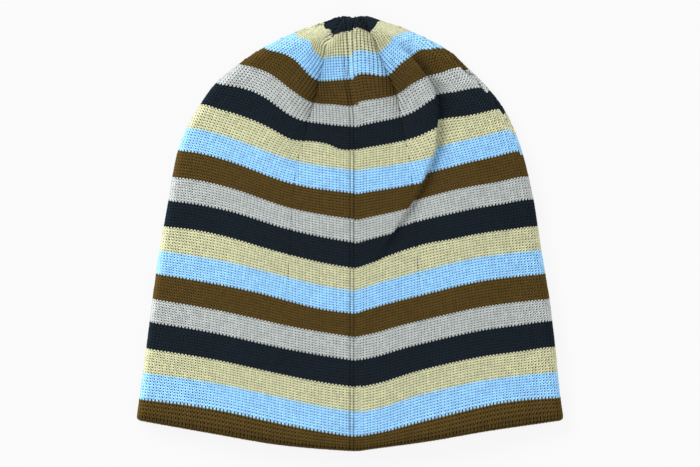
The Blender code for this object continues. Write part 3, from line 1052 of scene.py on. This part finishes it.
def select_only(piece: bpy.types.Object) -> None:
    """Make one object the selected, active one.

    Args:
        piece: The object.
    """
    deselect_all()
    piece.select_set(True)
    bpy.context.view_layer.objects.active = piece


def read_points(piece: bpy.types.Object) -> np.ndarray:
    """Read a mesh's vertices.

    Args:
        piece: The object with the mesh.

    Returns:
        One row of x, y and z per vertex.
    """
    flat = np.empty(len(piece.data.vertices) * 3, np.float32)
    piece.data.vertices.foreach_get("co", flat)
    return flat.reshape(-1, 3).astype(float)


def write_layer(piece: bpy.types.Object, name: str, values: np.ndarray, domain: str = "POINT") -> None:
    """Give a mesh an attribute that its material reads.

    Args:
        piece: The object with the mesh.
        name: The attribute's name.
        values: One number, or one row of three, per point or corner.
        domain: Whether they are given per POINT or per CORNER.
    """
    kind, member = ("FLOAT_VECTOR", "vector") if values.ndim > 1 else ("FLOAT", "value")
    layer = piece.data.attributes.new(name, kind, domain)
    layer.data.foreach_set(member, values.astype(np.float32).ravel())


def write_points(piece: bpy.types.Object, points: np.ndarray) -> None:
    """Move a mesh's vertices."""
    piece.data.vertices.foreach_set("co", points.astype(np.float32).ravel())
    piece.data.update()


@dataclass
class StitchSwatch:
    """A flat swatch of plain knit: one stitch of two legs, repeated into one stripe.

    wale, course: how far apart the swatch's stitches lie.
    thickness: how thick a leg is.
    points: how many vertices a stitch has.
    """

    layout: StripeLayout
    wale: float = WALE
    course: float = 0.00135
    leg: FlatStitch = FlatStitch(foot=(0.04, -0.50), head=(0.46, 0.92), half_width=0.180, ridge=0.60)
    thickness: float = 0.00063
    points: int = 12

    def model_stitch(self) -> bpy.types.Object:
        """Model one stitch: a slanted leg with a ridge and hipped ends, and its mirrored copy.

        Returns:
            The stitch.
        """
        origin = (0.0, 0.0, 0.0)
        deselect_all()
        bpy.ops.mesh.primitive_cylinder_add(vertices=3, radius=1.0, depth=2.0, location=origin)
        stitch = bpy.context.object
        bpy.ops.object.mode_set(mode="EDIT")
        bpy.ops.mesh.select_all(action="SELECT")
        bpy.ops.transform.rotate(value=-np.pi / 2, orient_axis="X", center_override=origin)
        bpy.ops.mesh.select_mode(type="VERT")
        bpy.ops.mesh.select_all(action="DESELECT")
        bpy.ops.object.mode_set(mode="OBJECT")
        stitch.data.vertices.foreach_set("select", read_points(stitch)[:, 2] > 0)
        bpy.ops.object.mode_set(mode="EDIT")
        bpy.ops.transform.resize(value=(1.0, self.leg.ridge, 1.0), center_override=origin)
        bpy.ops.mesh.select_all(action="SELECT")

        # The leg turns from the Y axis to the line from its foot to its head. Its section is a
        # triangle that reaches 1 from its middle: twice the cosine of 30 degrees wide, 1.5 high
        foot, head = (np.array(end) * (self.wale, self.course) for end in (self.leg.foot, self.leg.head))
        half_length = float(np.linalg.norm(head - foot)) / 2
        slant = float(np.arctan2(head[0] - foot[0], head[1] - foot[1]))
        half_width = self.leg.half_width * self.wale / np.cos(np.pi / 6)
        bpy.ops.transform.resize(
            value=(half_width, half_length, self.thickness / 1.5), center_override=origin)
        bpy.ops.transform.rotate(value=slant, orient_axis="Z", center_override=origin)
        bpy.ops.transform.translate(value=(*((foot + head) / 2), 0.0))
        bpy.ops.mesh.duplicate()
        bpy.ops.transform.resize(value=(-1.0, 1.0, 1.0), center_override=origin)
        bpy.ops.mesh.select_all(action="SELECT")
        bpy.ops.mesh.normals_make_consistent(inside=False)
        bpy.ops.object.mode_set(mode="OBJECT")
        bpy.ops.object.shade_smooth()
        return stitch

    def repeat(self, piece: bpy.types.Object, count: int, step: tuple[float, float, float]) -> None:
        """Repeat a piece in a row by an Array that is applied.

        Args:
            piece: The piece, which becomes the row.
            count: How many there are in the row.
            step: How far each one lies from the last.
        """
        select_only(piece)
        array = piece.modifiers.new("row", "ARRAY")
        array.count = count
        array.use_relative_offset = False
        array.use_constant_offset = True
        array.constant_offset_displace = step
        bpy.ops.object.modifier_apply(modifier=array.name)

    def build(self) -> bpy.types.Object:
        """Make the swatch: the wales of all gores side by side, one stripe of courses high.

        Returns:
            The swatch.
        """
        swatch = self.model_stitch()
        wales = self.layout.wales_per_gore * self.layout.gores
        self.repeat(swatch, wales, (self.wale, 0.0, 0.0))
        self.repeat(swatch, self.layout.courses, (0.0, self.course, 0.0))
        swatch.name = "flat_swatch"
        return swatch


class KnitPlaces(NamedTuple):
    """Where the points of one stripe belong in the knit, each an array of one value a point.

    gore: the gore's number, 0 for the one at the back seam.
    own_wale: the wale of the point's stitch, from the gore's middle line.
    wale: the point's own place, in wales from that line.
    stripe: how far down the cloth the point lies, in stripes.
    own_stripe: how far down it the middle of the point's stitch lies.
    """

    gore: np.ndarray
    own_wale: np.ndarray
    wale: np.ndarray
    stripe: np.ndarray
    own_stripe: np.ndarray


@dataclass
class KnittedStripes:
    """The stitches of every stripe, laid on the cap.

    first, last: the numbers of the first and the last stripe.
    face_depth: how far under the cap's face the stitches' middles lie.
    uneven_mm, tones: how far stitches lie higher or lower than others, and their range of tones.
    seam_shade, seam_wales: how dark the painted shade of the seam's two lines is, and how wide they are.
    pinch, dart_wales, dart_fades, hem_edge: how much the wales are drawn in, over how many wales
        beside a dart, where down the cloth that fades, and over how much of a stripe at the hem.
    pinch_shade: how much darker painted shade makes drawn-in wales.
    crown_pinch, crown_fades: the share of that pinch all over the crown, and where it fades.
    crease_shade, crease_valley: how dark the painted shade in the crease's valley is, its middle and its
    half width.
    tucked: how far past its gore's edge a wale may run, in wales.
    tip, top_course: how near to the crown's tip a point and a stitch may lie, in stripes.
    """

    form: CapForm
    layout: StripeLayout
    swatch: StitchSwatch
    first: int = 0
    last: int = 20
    face_depth: float = 0.00042
    tone_seed: int = 7
    uneven_mm: float = 0.05
    tones: tuple[float, float] = (0.2, 0.8)
    seam_shade: float = 1.5
    seam_wales: float = 0.22
    pinch: float = 0.36
    crown_pinch: float = 0.8
    crown_fades: tuple[float, float] = (0.09, 0.16)
    pinch_shade: float = 0.5
    dart_wales: float = 4.0
    dart_fades: tuple[float, float] = (0.20, 0.30)
    hem_edge: float = 0.14
    crease_shade: float = 0.45
    crease_valley: tuple[float, float] = (0.0026, 0.0034)
    tucked: float = 0.35
    tip: float = 0.03
    top_course: float = 0.12

    def place(self, points: np.ndarray, stripe: int) -> KnitPlaces:
        """Find where the flat swatch's points belong in the knit.

        Args:
            points: The flat swatch's points.
            stripe: The stripe's number, from 0 at the crown.

        Returns:
            Their places.
        """
        layout, swatch = self.layout, self.swatch
        number = np.arange(len(points)) // swatch.points
        all_wales = layout.wales_per_gore * layout.gores
        column, row = number % all_wales, number // all_wales
        gore = column // layout.wales_per_gore
        own_wale = column % layout.wales_per_gore - (layout.wales_per_gore - 1) / 2
        wale = points[:, 0] / swatch.wale - column + own_wale
        # Swatch rows rise from the hem side, as the knit's stitches point to the crown
        up = points[:, 1] / swatch.course - row
        course = layout.courses - 1 - row
        stripe_at = stripe + (course + 1 - up) / layout.courses
        return KnitPlaces(gore, own_wale, wale, stripe_at, stripe + (course + 0.5) / layout.courses)

    def drawn_in(self, knit: KnitPlaces, along: np.ndarray, half: np.ndarray) -> np.ndarray:
        """Find how much the wales beside a dart and on the hem's edge are drawn in.

        Args:
            knit: The points' places.
            along: How far down the cloth they lie.
            half: The half width of their gore, in wales.

        Returns:
            Shares of the full pinch.
        """
        by_dart = np.exp(-np.maximum(half - np.abs(knit.own_wale), 0.0) / self.dart_wales)
        by_dart = by_dart * (1 - smooth_step(*self.dart_fades, along))
        by_hem = np.exp(-((self.form.stripes_down - knit.stripe) / self.hem_edge) ** 2)
        return np.maximum(by_dart, by_hem)

    def shade(self, knit: KnitPlaces, at: Places, drawn_in: np.ndarray) -> np.ndarray:
        """Find how much painted shade darkens the stitches in the cloth's narrow hollows.

        Args:
            knit: The points' places in the knit.
            at: Their places on the cap.
            drawn_in: How much their wales are drawn in.

        Returns:
            What their tone loses to painted shade.
        """
        # Painted shade: drawn-in wales, the seam's two lines and the crease's valley are darkened
        shade = self.pinch_shade * drawn_in
        for side in ("left", "right"):
            from_seam = (knit.wale - self.form.seam.at(side, at.along)) / self.seam_wales
            shade += self.seam_shade * (knit.gore == 0) * np.exp(-from_seam ** 2)
        middle, half_width = self.crease_valley
        from_valley = (self.form.crease_side(at) - middle) / half_width
        strength = self.form.crease.at("strength", at.along) * (at.back & (at.right > 0))
        return shade + self.crease_shade * strength * np.exp(-from_valley ** 2)

    def lay(self, flat: bpy.types.Object, stripe: int) -> bpy.types.Object:
        """Copy the flat swatch and lay it on the cap as one stripe.

        Args:
            flat: The flat swatch.
            stripe: The stripe's number, from 0 at the crown.

        Returns:
            The laid stripe.
        """
        piece = flat.copy()
        piece.data = flat.data.copy()
        colour = STRIPE_ORDER[stripe % len(STRIPE_ORDER)]
        where = "hem_inside" if stripe > self.form.stripes_down else "stripe"
        piece.name = piece.data.name = f"{where}_{stripe + 1:02d}_{colour.name.lower()}"
        bpy.context.scene.collection.objects.link(piece)

        layout, swatch = self.layout, self.swatch
        points = read_points(piece)
        knit = self.place(points, stripe)
        along = self.along(knit.stripe)
        not_tip = np.maximum(along, CROWN_TIP)
        # What reaches over a sewn line is tucked down along it
        half = layout.wales(not_tip) / 2
        half = np.where(half < layout.wales_per_gore / 2 - MERGE, half, np.inf)
        over = np.maximum(np.abs(knit.wale) - half, 0.0)
        wale = np.clip(knit.wale, -half, half)
        # Drawn-in wales are narrower, so that shade shows between them
        drawn_in = self.drawn_in(knit, along, half)
        at_crown = self.crown_pinch * (1 - smooth_step(*self.crown_fades, along))
        wale = wale + (knit.own_wale - wale) * self.pinch * np.maximum(drawn_in, at_crown)
        knit = knit._replace(wale=wale)
        turn = layout.turn(knit.gore, wale, not_tip)
        right_panel = (knit.gore == 0) & (knit.own_wale > layout.step_wale) | (knit.gore == 1)
        run = layout.run(turn, knit.stripe, right_panel.astype(float))

        random = np.random.RandomState(self.tone_seed + stripe)
        stitches = len(points) // swatch.points
        sink, tone = (
            np.repeat(random.uniform(low, high, stitches), swatch.points)
            for low, high in ((-self.uneven_mm, self.uneven_mm), self.tones))
        height = points[:, 2] - self.face_depth + sink * MM - over * swatch.wale
        write_points(piece, self.form.wall_point(turn, run, height))
        write_layer(piece, "knit_place", layout.knit_place(wale, knit.stripe))
        # Painted shade of the seam's lines, the drawn-in wales and the crease's valley comes off each
        # stitch's own tone
        shade = self.shade(knit, self.form.places(turn, along), drawn_in)
        write_layer(piece, "stitch_tone_and_shade", tone - shade)

        # A stitch stays where its gore still has its wale and the crown's tip isn't too near
        kept = np.abs(knit.own_wale) - self.tucked <= layout.wales(self.along(knit.own_stripe)) / 2
        kept &= (knit.own_stripe > self.top_course) & (run > self.tip)
        kept = kept.reshape(-1, swatch.points).all(axis=1)
        self.cut(piece, np.repeat(~kept, swatch.points))
        return piece

    def along(self, stripe: np.ndarray) -> np.ndarray:
        """Find how far down the cap a stripe's place lies, also where it is on the inside.

        Args:
            stripe: The place, in stripes from the crown, round the hem and up the inside.

        Returns:
            Shares of the way down.
        """
        down = self.form.stripes_down
        hem = self.form.hem_stripes()
        inside = 1 - (stripe - down - hem) / down
        return np.clip(np.where(stripe > down + hem / 2, inside, stripe / down), 0.0, 1.0)

    def cut(self, piece: bpy.types.Object, gone: np.ndarray) -> None:
        """Delete the stitches that the darts take in.

        Args:
            piece: The stripe.
            gone: Which of its points go.
        """
        if not gone.any():
            return
        select_only(piece)
        bpy.ops.object.mode_set(mode="EDIT")
        bpy.ops.mesh.select_mode(type="VERT")
        bpy.ops.mesh.select_all(action="DESELECT")
        bpy.ops.object.mode_set(mode="OBJECT")
        piece.data.vertices.foreach_set("select", gone)
        bpy.ops.object.mode_set(mode="EDIT")
        bpy.ops.mesh.delete(type="VERT")
        bpy.ops.object.mode_set(mode="OBJECT")

    def build(self, yarns: dict[YarnColour, bpy.types.Material]) -> list[bpy.types.Object]:
        """Make all stripes.

        Args:
            yarns: The material of each yarn.

        Returns:
            The laid stripes.
        """
        flat = self.swatch.build()
        stripes = []
        for stripe in range(self.first, self.last + 1):
            piece = self.lay(flat, stripe)
            piece.data.materials.append(yarns[STRIPE_ORDER[stripe % len(STRIPE_ORDER)]])
            stripes.append(piece)
        bpy.data.objects.remove(flat, do_unlink=True)
        return stripes


@dataclass
class ClothGround:
    """The doubled cloth under the stitches: one closed shell, open at the hem.

    columns, crown_rows, hem_rows, inside_rows: how finely it is divided, the crown's rows by their
        places in stripes. From there to the hem each course has a row.
    depth: how far it lies under the cap's face.
    tone: the tone of its drawn stitches.
    """

    form: CapForm
    layout: StripeLayout
    columns: int = 228
    crown_rows: tuple[float, ...] = (0.0, 0.06, 0.15, 0.28, 0.43, 0.6, 0.8)
    hem_rows: int = 9
    inside_rows: int = 56
    depth: float = 0.00075
    tone: float = 0.5

    def rows(self) -> np.ndarray:
        """Find where the shell's rows lie.

        Returns:
            Their places in stripes, down the outside, round the hem and up the inside.
        """
        down, hem = self.form.stripes_down, self.form.hem_stripes()
        course = 1 / self.layout.courses
        outside = np.arange(1.0, down - course / 3, course)
        round_hem = down + hem * np.linspace(0.0, 1.0, self.hem_rows)
        inside = down + hem + down * np.linspace(0.0, 1.0, self.inside_rows)[1:]
        return np.concatenate([self.crown_rows, outside, round_hem, inside])

    def build(self, yarns: dict[YarnColour, bpy.types.Material]) -> bpy.types.Object:
        """Roll a flat grid round into the shell.

        Args:
            yarns: The ground material of each yarn, darkened by painted shade.

        Returns:
            The shell.
        """
        rows = self.rows()
        deselect_all()
        bpy.ops.mesh.primitive_grid_add(
            x_subdivisions=self.columns, y_subdivisions=len(rows) - 1, size=1.0, location=(0, 0, 0))
        shell = bpy.context.object
        shell.name = shell.data.name = "doubled_cloth"
        points = read_points(shell)
        row = np.rint((points[:, 1] + 0.5) * (len(rows) - 1)).astype(int)
        turn = points[:, 0]
        stripe = rows[row]
        right_panel = (turn > 0) & (turn < 1 / 4)
        run = self.layout.run(turn, stripe, right_panel.astype(float))
        write_points(shell, self.form.wall_point(turn, run, np.full(len(points), -self.depth)))

        faces = np.array([polygon.vertices[:] for polygon in shell.data.polygons])
        middle_stripe = stripe[faces].mean(axis=1)
        slots = (middle_stripe.astype(int) % len(STRIPE_ORDER)).astype(np.int32)
        shell.data.polygons.foreach_set("material_index", slots)
        for colour in STRIPE_ORDER:
            shell.data.materials.append(yarns[colour])
        write_layer(shell, "stitch_tone_and_shade", np.full(len(points), self.tone))
        gore = np.rint(turn[faces].mean(axis=1, keepdims=True) * self.layout.gores)
        down = self.form.stripes_down
        along = np.clip(np.where(stripe <= down, stripe, 2 * down - stripe) / down, 0.0, 1.0)
        wale = self.layout.wale_at(np.broadcast_to(gore, faces.shape), turn[faces], along[faces])
        write_layer(shell, "knit_place", self.layout.knit_place(wale, stripe[faces]), "CORNER")
        bpy.ops.object.shade_smooth()
        bpy.ops.object.mode_set(mode="EDIT")
        bpy.ops.mesh.select_all(action="SELECT")
        bpy.ops.mesh.remove_doubles(threshold=MERGE)
        bpy.ops.mesh.normals_make_consistent(inside=False)
        bpy.ops.object.mode_set(mode="OBJECT")
        return shell


class SoftBox(NamedTuple):
    """A square soft light that faces the cap: its name, place, width and power in watts."""

    name: str
    place: tuple[float, float, float]
    width: float
    power: float


SOFT_BOXES = (
    SoftBox("big_softbox", (-4.4, 3.6, 5.0), 3.4, 340.0),
    SoftBox("crown_softbox", (-0.7, 1.2, 1.2), 0.8, 7.0),
)


@dataclass
class Studio:
    """A plain white table seen from straight above, in soft and even light.

    The table is dark paper that glows evenly, so that it stays white without a hard shadow.
    """

    camera_height: float = 4.04
    lens_mm: float = 400.0
    sensor_mm: float = 36.0
    floor_size: float = 3.0
    floor_colour: str = "#404040"
    floor_roughness: float = 0.9
    floor_specular: float = 0.1
    floor_glow: float = 0.885
    room_light: float = 0.96

    def build(self) -> None:
        """Make the floor, the lights, the world and the camera."""
        deselect_all()
        bpy.ops.mesh.primitive_plane_add(size=self.floor_size, location=(0, 0, 0))
        floor = bpy.context.object
        floor.name = "white_table"
        paper = bpy.data.materials.new("matt_white_paper")
        paper.use_nodes = True
        shader = paper.node_tree.nodes["Principled BSDF"]
        shader.inputs["Base Color"].default_value = linear(self.floor_colour)
        shader.inputs["Roughness"].default_value = self.floor_roughness
        shader.inputs["Specular IOR Level"].default_value = self.floor_specular
        shader.inputs["Emission Color"].default_value = (1.0, 1.0, 1.0, 1.0)
        shader.inputs["Emission Strength"].default_value = self.floor_glow
        floor.data.materials.append(paper)

        for box in SOFT_BOXES:
            self.hang(box)
        world = bpy.data.worlds.new("white_room")
        bpy.context.scene.world = world
        world.use_nodes = True
        background = world.node_tree.nodes["Background"]
        background.inputs["Color"].default_value = (1.0, 1.0, 1.0, 1.0)
        background.inputs["Strength"].default_value = self.room_light
        bpy.context.scene.view_settings.view_transform = "Standard"

        bpy.ops.object.camera_add(location=(0, 0, self.camera_height), rotation=(0, 0, 0))
        camera = bpy.context.object
        camera.data.lens = self.lens_mm
        camera.data.sensor_width = self.sensor_mm
        camera.data.clip_start = 0.01
        bpy.context.scene.camera = camera

    def hang(self, box: SoftBox) -> None:
        """Hang one soft light that faces the cap.

        Args:
            box: The light.
        """
        bpy.ops.object.light_add(type="AREA", location=box.place)
        lamp = bpy.context.object
        lamp.name = box.name
        lamp.data.shape = "SQUARE"
        lamp.data.size = box.width
        lamp.data.energy = box.power
        x, y, z = box.place
        lamp.rotation_euler = (float(np.arctan2(np.hypot(x, y), z)), 0.0, float(np.arctan2(x, -y)))


def main() -> None:
    """Load the frame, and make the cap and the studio."""
    logging.basicConfig(level=logging.INFO, format="%(name)s: %(message)s")
    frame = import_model()
    log.info("frame has nodes %s", sorted(frame["nodes"]))

    form = CapForm()
    low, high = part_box(CAP_NODE)
    form.centre_on(low, high)
    layout = StripeLayout(form)
    yarns = {colour: DyedYarn(colour).material() for colour in YarnColour}
    # The ground's copy of each yarn is darkened by painted shade
    shaded_grounds = {colour: DyedYarn(colour).material(darker=GROUND_SHADE) for colour in YarnColour}

    shell = ClothGround(form, layout).build(shaded_grounds)
    pieces = [shell, *KnittedStripes(form, layout, StitchSwatch(layout)).build(yarns)]
    for piece in pieces:
        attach(piece, BODY)
        log.info("%s has %d faces", piece.name, len(piece.data.polygons))
    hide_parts(CAP_NODE)
    Studio().build()


if __name__ == "__main__":
    main()
